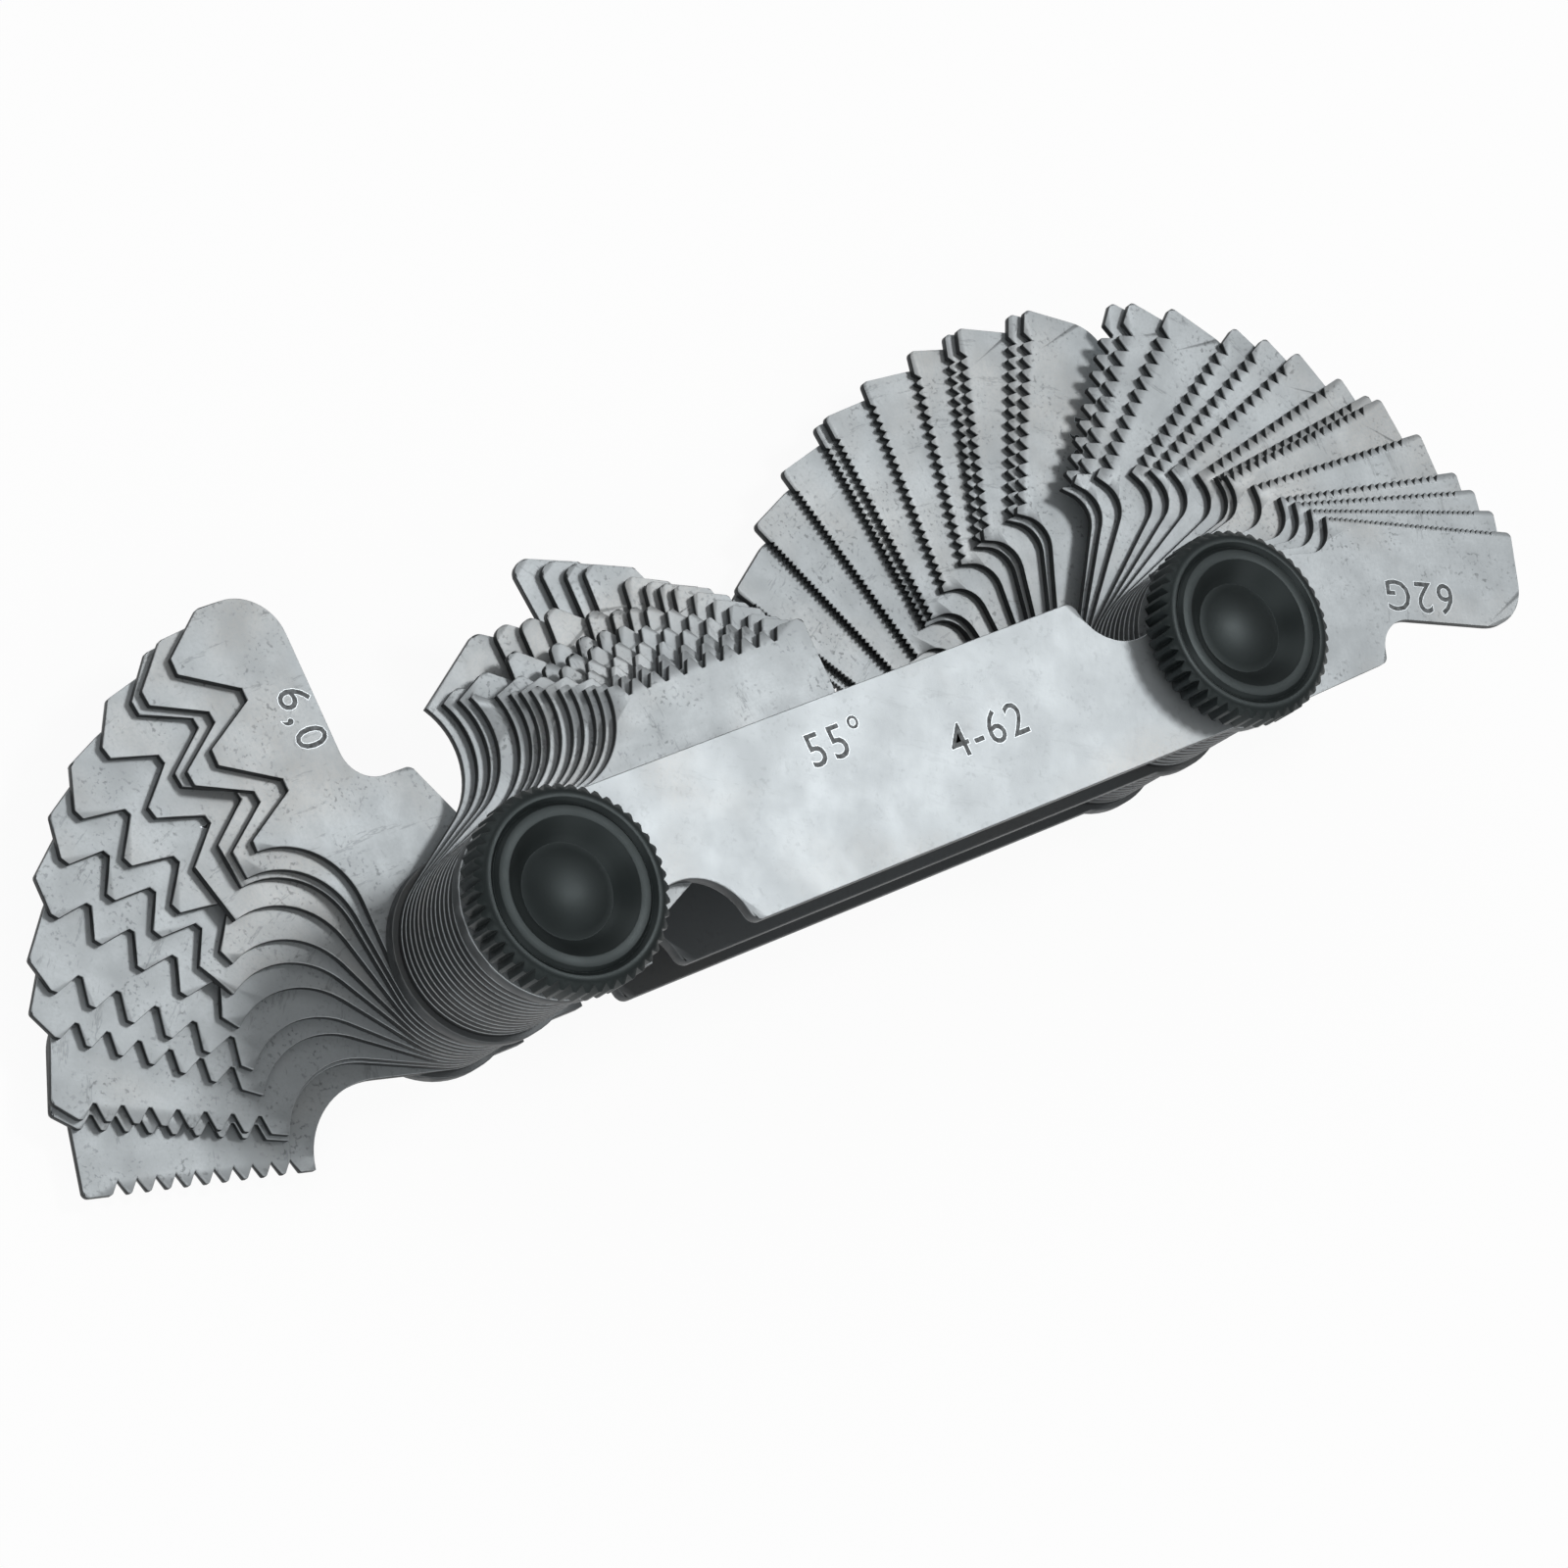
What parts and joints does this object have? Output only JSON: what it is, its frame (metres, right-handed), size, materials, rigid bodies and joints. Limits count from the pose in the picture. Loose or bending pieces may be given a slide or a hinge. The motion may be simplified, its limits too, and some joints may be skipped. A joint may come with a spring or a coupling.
{
  "type": "thread pitch gauge",
  "caption": "Combined screw pitch gauge: toothed inch and metric blades fanned out on two pivots of a flat steel holder, each stack clamped by a black knurled knob.",
  "frame": {"origin": "midway between the two pivots, on the rear plate's resting face", "axes": "+X from the left pivot to the right one, +Z out of the front plate along the pivots, +Y towards the long edge that the closed left blades' teeth face"},
  "size_m": [0.1083, 0.0351, 0.0216],
  "materials": {
    "plate_steel": "satin, fine rolled grain",
    "blade_steel": "satin spring steel with light specks",
    "screw_steel": "turned steel",
    "knob_plastic": "moulded, satin black"
  },
  "bodies": {
    "holder": {"rear_plate": "plate_steel", "middle_plate": "plate_steel", "front_plate": "plate_steel", "left_pivot_screw": "screw_steel", "right_pivot_screw": "screw_steel"},
    "left_knob": {"left_knob": "knob_plastic"},
    "right_knob": {"right_knob": "knob_plastic"},
    "blade_inch_18": {"blade_inch_18": "blade_steel"},
    "blade_inch_16": {"blade_inch_16": "blade_steel"},
    "blade_inch_14": {"blade_inch_14": "blade_steel"},
    "blade_inch_13": {"blade_inch_13": "blade_steel"},
    "blade_inch_12": {"blade_inch_12": "blade_steel"},
    "blade_inch_11": {"blade_inch_11": "blade_steel"},
    "blade_inch_10": {"blade_inch_10": "blade_steel"},
    "blade_inch_9": {"blade_inch_9": "blade_steel"},
    "blade_inch_8": {"blade_inch_8": "blade_steel"},
    "blade_inch_7": {"blade_inch_7": "blade_steel"},
    "blade_inch_6": {"blade_inch_6": "blade_steel"},
    "blade_inch_5": {"blade_inch_5": "blade_steel"},
    "blade_inch_4_5": {"blade_inch_4_5": "blade_steel"},
    "blade_inch_4": {"blade_inch_4": "blade_steel"},
    "blade_inch_62": {"blade_inch_62": "blade_steel"},
    "blade_inch_60": {"blade_inch_60": "blade_steel"},
    "blade_inch_48": {"blade_inch_48": "blade_steel"},
    "blade_inch_40": {"blade_inch_40": "blade_steel"},
    "blade_inch_36": {"blade_inch_36": "blade_steel"},
    "blade_inch_32": {"blade_inch_32": "blade_steel"},
    "blade_inch_30": {"blade_inch_30": "blade_steel"},
    "blade_inch_28": {"blade_inch_28": "blade_steel"},
    "blade_inch_26": {"blade_inch_26": "blade_steel"},
    "blade_inch_25": {"blade_inch_25": "blade_steel"},
    "blade_inch_24": {"blade_inch_24": "blade_steel"},
    "blade_inch_22": {"blade_inch_22": "blade_steel"},
    "blade_inch_20": {"blade_inch_20": "blade_steel"},
    "blade_inch_19": {"blade_inch_19": "blade_steel"},
    "blade_metric_6_0": {"blade_metric_6_0": "blade_steel"},
    "blade_metric_5_5": {"blade_metric_5_5": "blade_steel"},
    "blade_metric_5_0": {"blade_metric_5_0": "blade_steel"},
    "blade_metric_4_5": {"blade_metric_4_5": "blade_steel"},
    "blade_metric_4_0": {"blade_metric_4_0": "blade_steel"},
    "blade_metric_3_5": {"blade_metric_3_5": "blade_steel"},
    "blade_metric_3_0": {"blade_metric_3_0": "blade_steel"},
    "blade_metric_2_5": {"blade_metric_2_5": "blade_steel"},
    "blade_metric_2_0": {"blade_metric_2_0": "blade_steel"},
    "blade_metric_1_75": {"blade_metric_1_75": "blade_steel"},
    "blade_metric_1_5": {"blade_metric_1_5": "blade_steel"},
    "blade_metric_1_25": {"blade_metric_1_25": "blade_steel"},
    "blade_metric_1_0": {"blade_metric_1_0": "blade_steel"},
    "blade_metric_0_9": {"blade_metric_0_9": "blade_steel"},
    "blade_metric_0_8": {"blade_metric_0_8": "blade_steel"},
    "blade_metric_0_75": {"blade_metric_0_75": "blade_steel"},
    "blade_metric_0_7": {"blade_metric_0_7": "blade_steel"},
    "blade_metric_0_6": {"blade_metric_0_6": "blade_steel"},
    "blade_metric_0_5": {"blade_metric_0_5": "blade_steel"},
    "blade_metric_0_45": {"blade_metric_0_45": "blade_steel"},
    "blade_metric_0_4": {"blade_metric_0_4": "blade_steel"},
    "blade_metric_0_35": {"blade_metric_0_35": "blade_steel"},
    "blade_metric_0_3": {"blade_metric_0_3": "blade_steel"},
    "blade_metric_0_25": {"blade_metric_0_25": "blade_steel"}
  },
  "joints": [
    {"name": "left_knob_turn", "type": "hinge", "parent": "holder", "child": "left_knob", "pos_m": [-0.027, 0, 0.0187], "axis": [0, 0, 1], "continuous": true},
    {"name": "right_knob_turn", "type": "hinge", "parent": "holder", "child": "right_knob", "pos_m": [0.027, 0, 0.0187], "axis": [0, 0, 1], "continuous": true},
    {"name": "blade_inch_18_turn", "type": "hinge", "parent": "holder", "child": "blade_inch_18", "pos_m": [-0.027, 0, 0.0173], "axis": [0, 0, 1], "range_deg": [0, 310]},
    {"name": "blade_inch_16_turn", "type": "hinge", "parent": "holder", "child": "blade_inch_16", "pos_m": [-0.027, 0, 0.0167], "axis": [0, 0, 1], "range_deg": [-2, 308]},
    {"name": "blade_inch_14_turn", "type": "hinge", "parent": "holder", "child": "blade_inch_14", "pos_m": [-0.027, 0, 0.0161], "axis": [0, 0, 1], "range_deg": [-3.5, 306.5]},
    {"name": "blade_inch_13_turn", "type": "hinge", "parent": "holder", "child": "blade_inch_13", "pos_m": [-0.027, 0, 0.0155], "axis": [0, 0, 1], "range_deg": [-6, 304]},
    {"name": "blade_inch_12_turn", "type": "hinge", "parent": "holder", "child": "blade_inch_12", "pos_m": [-0.027, 0, 0.0149], "axis": [0, 0, 1], "range_deg": [-8, 302]},
    {"name": "blade_inch_11_turn", "type": "hinge", "parent": "holder", "child": "blade_inch_11", "pos_m": [-0.027, 0, 0.0143], "axis": [0, 0, 1], "range_deg": [-10.5, 299.5]},
    {"name": "blade_inch_10_turn", "type": "hinge", "parent": "holder", "child": "blade_inch_10", "pos_m": [-0.027, 0, 0.0137], "axis": [0, 0, 1], "range_deg": [-13, 297]},
    {"name": "blade_inch_9_turn", "type": "hinge", "parent": "holder", "child": "blade_inch_9", "pos_m": [-0.027, 0, 0.0131], "axis": [0, 0, 1], "range_deg": [-14.5, 295.5]},
    {"name": "blade_inch_8_turn", "type": "hinge", "parent": "holder", "child": "blade_inch_8", "pos_m": [-0.027, 0, 0.0125], "axis": [0, 0, 1], "range_deg": [-16, 294]},
    {"name": "blade_inch_7_turn", "type": "hinge", "parent": "holder", "child": "blade_inch_7", "pos_m": [-0.027, 0, 0.0119], "axis": [0, 0, 1], "range_deg": [-18.5, 291.5]},
    {"name": "blade_inch_6_turn", "type": "hinge", "parent": "holder", "child": "blade_inch_6", "pos_m": [-0.027, 0, 0.0113], "axis": [0, 0, 1], "range_deg": [-24, 286]},
    {"name": "blade_inch_5_turn", "type": "hinge", "parent": "holder", "child": "blade_inch_5", "pos_m": [-0.027, 0, 0.0107], "axis": [0, 0, 1], "range_deg": [-26, 284]},
    {"name": "blade_inch_4_5_turn", "type": "hinge", "parent": "holder", "child": "blade_inch_4_5", "pos_m": [-0.027, 0, 0.0101], "axis": [0, 0, 1], "range_deg": [-29, 281]},
    {"name": "blade_inch_4_turn", "type": "hinge", "parent": "holder", "child": "blade_inch_4", "pos_m": [-0.027, 0, 0.0095], "axis": [0, 0, 1], "range_deg": [-32.5, 277.5]},
    {"name": "blade_inch_62_turn", "type": "hinge", "parent": "holder", "child": "blade_inch_62", "pos_m": [0.027, 0, 0.0173], "axis": [0, 0, 1], "range_deg": [-158.5, 151.5]},
    {"name": "blade_inch_60_turn", "type": "hinge", "parent": "holder", "child": "blade_inch_60", "pos_m": [0.027, 0, 0.0167], "axis": [0, 0, 1], "range_deg": [-162.5, 147.5]},
    {"name": "blade_inch_48_turn", "type": "hinge", "parent": "holder", "child": "blade_inch_48", "pos_m": [0.027, 0, 0.0161], "axis": [0, 0, 1], "range_deg": [-166.5, 143.5]},
    {"name": "blade_inch_40_turn", "type": "hinge", "parent": "holder", "child": "blade_inch_40", "pos_m": [0.027, 0, 0.0155], "axis": [0, 0, 1], "range_deg": [-170, 140]},
    {"name": "blade_inch_36_turn", "type": "hinge", "parent": "holder", "child": "blade_inch_36", "pos_m": [0.027, 0, 0.0149], "axis": [0, 0, 1], "range_deg": [-177.5, 132.5]},
    {"name": "blade_inch_32_turn", "type": "hinge", "parent": "holder", "child": "blade_inch_32", "pos_m": [0.027, 0, 0.0143], "axis": [0, 0, 1], "range_deg": [-185, 125]},
    {"name": "blade_inch_30_turn", "type": "hinge", "parent": "holder", "child": "blade_inch_30", "pos_m": [0.027, 0, 0.0137], "axis": [0, 0, 1], "range_deg": [-186.5, 123.5]},
    {"name": "blade_inch_28_turn", "type": "hinge", "parent": "holder", "child": "blade_inch_28", "pos_m": [0.027, 0, 0.0131], "axis": [0, 0, 1], "range_deg": [-191, 119]},
    {"name": "blade_inch_26_turn", "type": "hinge", "parent": "holder", "child": "blade_inch_26", "pos_m": [0.027, 0, 0.0125], "axis": [0, 0, 1], "range_deg": [-198, 112]},
    {"name": "blade_inch_25_turn", "type": "hinge", "parent": "holder", "child": "blade_inch_25", "pos_m": [0.027, 0, 0.0119], "axis": [0, 0, 1], "range_deg": [-203, 107]},
    {"name": "blade_inch_24_turn", "type": "hinge", "parent": "holder", "child": "blade_inch_24", "pos_m": [0.027, 0, 0.0113], "axis": [0, 0, 1], "range_deg": [-207.5, 102.5]},
    {"name": "blade_inch_22_turn", "type": "hinge", "parent": "holder", "child": "blade_inch_22", "pos_m": [0.027, 0, 0.0107], "axis": [0, 0, 1], "range_deg": [-217.5, 92.5]},
    {"name": "blade_inch_20_turn", "type": "hinge", "parent": "holder", "child": "blade_inch_20", "pos_m": [0.027, 0, 0.0101], "axis": [0, 0, 1], "range_deg": [-223.5, 86.5]},
    {"name": "blade_inch_19_turn", "type": "hinge", "parent": "holder", "child": "blade_inch_19", "pos_m": [0.027, 0, 0.0095], "axis": [0, 0, 1], "range_deg": [-226, 84]},
    {"name": "blade_metric_6_0_turn", "type": "hinge", "parent": "holder", "child": "blade_metric_6_0", "pos_m": [-0.027, 0, 0.0079], "axis": [0, 0, 1], "range_deg": [-90, 220]},
    {"name": "blade_metric_5_5_turn", "type": "hinge", "parent": "holder", "child": "blade_metric_5_5", "pos_m": [-0.027, 0, 0.0073], "axis": [0, 0, 1], "range_deg": [-96, 214]},
    {"name": "blade_metric_5_0_turn", "type": "hinge", "parent": "holder", "child": "blade_metric_5_0", "pos_m": [-0.027, 0, 0.0067], "axis": [0, 0, 1], "range_deg": [-97.5, 212.5]},
    {"name": "blade_metric_4_5_turn", "type": "hinge", "parent": "holder", "child": "blade_metric_4_5", "pos_m": [-0.027, 0, 0.0061], "axis": [0, 0, 1], "range_deg": [-105, 205]},
    {"name": "blade_metric_4_0_turn", "type": "hinge", "parent": "holder", "child": "blade_metric_4_0", "pos_m": [-0.027, 0, 0.0055], "axis": [0, 0, 1], "range_deg": [-114.5, 195.5]},
    {"name": "blade_metric_3_5_turn", "type": "hinge", "parent": "holder", "child": "blade_metric_3_5", "pos_m": [-0.027, 0, 0.0049], "axis": [0, 0, 1], "range_deg": [-121, 189]},
    {"name": "blade_metric_3_0_turn", "type": "hinge", "parent": "holder", "child": "blade_metric_3_0", "pos_m": [-0.027, 0, 0.0043], "axis": [0, 0, 1], "range_deg": [-128.5, 181.5]},
    {"name": "blade_metric_2_5_turn", "type": "hinge", "parent": "holder", "child": "blade_metric_2_5", "pos_m": [-0.027, 0, 0.0037], "axis": [0, 0, 1], "range_deg": [-138.5, 171.5]},
    {"name": "blade_metric_2_0_turn", "type": "hinge", "parent": "holder", "child": "blade_metric_2_0", "pos_m": [-0.027, 0, 0.0031], "axis": [0, 0, 1], "range_deg": [-144.5, 165.5]},
    {"name": "blade_metric_1_75_turn", "type": "hinge", "parent": "holder", "child": "blade_metric_1_75", "pos_m": [-0.027, 0, 0.0025], "axis": [0, 0, 1], "range_deg": [-155.5, 154.5]},
    {"name": "blade_metric_1_5_turn", "type": "hinge", "parent": "holder", "child": "blade_metric_1_5", "pos_m": [-0.027, 0, 0.0019], "axis": [0, 0, 1], "range_deg": [-156.5, 153.5]},
    {"name": "blade_metric_1_25_turn", "type": "hinge", "parent": "holder", "child": "blade_metric_1_25", "pos_m": [-0.027, 0, 0.0013], "axis": [0, 0, 1], "range_deg": [-166, 144]},
    {"name": "blade_metric_1_0_turn", "type": "hinge", "parent": "holder", "child": "blade_metric_1_0", "pos_m": [0.027, 0, 0.0079], "axis": [0, 0, 1], "range_deg": [-238.5, 71.5]},
    {"name": "blade_metric_0_9_turn", "type": "hinge", "parent": "holder", "child": "blade_metric_0_9", "pos_m": [0.027, 0, 0.0073], "axis": [0, 0, 1], "range_deg": [-240.5, 69.5]},
    {"name": "blade_metric_0_8_turn", "type": "hinge", "parent": "holder", "child": "blade_metric_0_8", "pos_m": [0.027, 0, 0.0067], "axis": [0, 0, 1], "range_deg": [-249, 61]},
    {"name": "blade_metric_0_75_turn", "type": "hinge", "parent": "holder", "child": "blade_metric_0_75", "pos_m": [0.027, 0, 0.0061], "axis": [0, 0, 1], "range_deg": [-250.5, 59.5]},
    {"name": "blade_metric_0_7_turn", "type": "hinge", "parent": "holder", "child": "blade_metric_0_7", "pos_m": [0.027, 0, 0.0055], "axis": [0, 0, 1], "range_deg": [-256.5, 53.5]},
    {"name": "blade_metric_0_6_turn", "type": "hinge", "parent": "holder", "child": "blade_metric_0_6", "pos_m": [0.027, 0, 0.0049], "axis": [0, 0, 1], "range_deg": [-265.5, 44.5]},
    {"name": "blade_metric_0_5_turn", "type": "hinge", "parent": "holder", "child": "blade_metric_0_5", "pos_m": [0.027, 0, 0.0043], "axis": [0, 0, 1], "range_deg": [-273.5, 36.5]},
    {"name": "blade_metric_0_45_turn", "type": "hinge", "parent": "holder", "child": "blade_metric_0_45", "pos_m": [0.027, 0, 0.0037], "axis": [0, 0, 1], "range_deg": [-275, 35]},
    {"name": "blade_metric_0_4_turn", "type": "hinge", "parent": "holder", "child": "blade_metric_0_4", "pos_m": [0.027, 0, 0.0031], "axis": [0, 0, 1], "range_deg": [-283.5, 26.5]},
    {"name": "blade_metric_0_35_turn", "type": "hinge", "parent": "holder", "child": "blade_metric_0_35", "pos_m": [0.027, 0, 0.0025], "axis": [0, 0, 1], "range_deg": [-292.5, 17.5]},
    {"name": "blade_metric_0_3_turn", "type": "hinge", "parent": "holder", "child": "blade_metric_0_3", "pos_m": [0.027, 0, 0.0019], "axis": [0, 0, 1], "range_deg": [-302.5, 7.5]},
    {"name": "blade_metric_0_25_turn", "type": "hinge", "parent": "holder", "child": "blade_metric_0_25", "pos_m": [0.027, 0, 0.0013], "axis": [0, 0, 1], "range_deg": [-304.5, 5.5]}
  ]
}
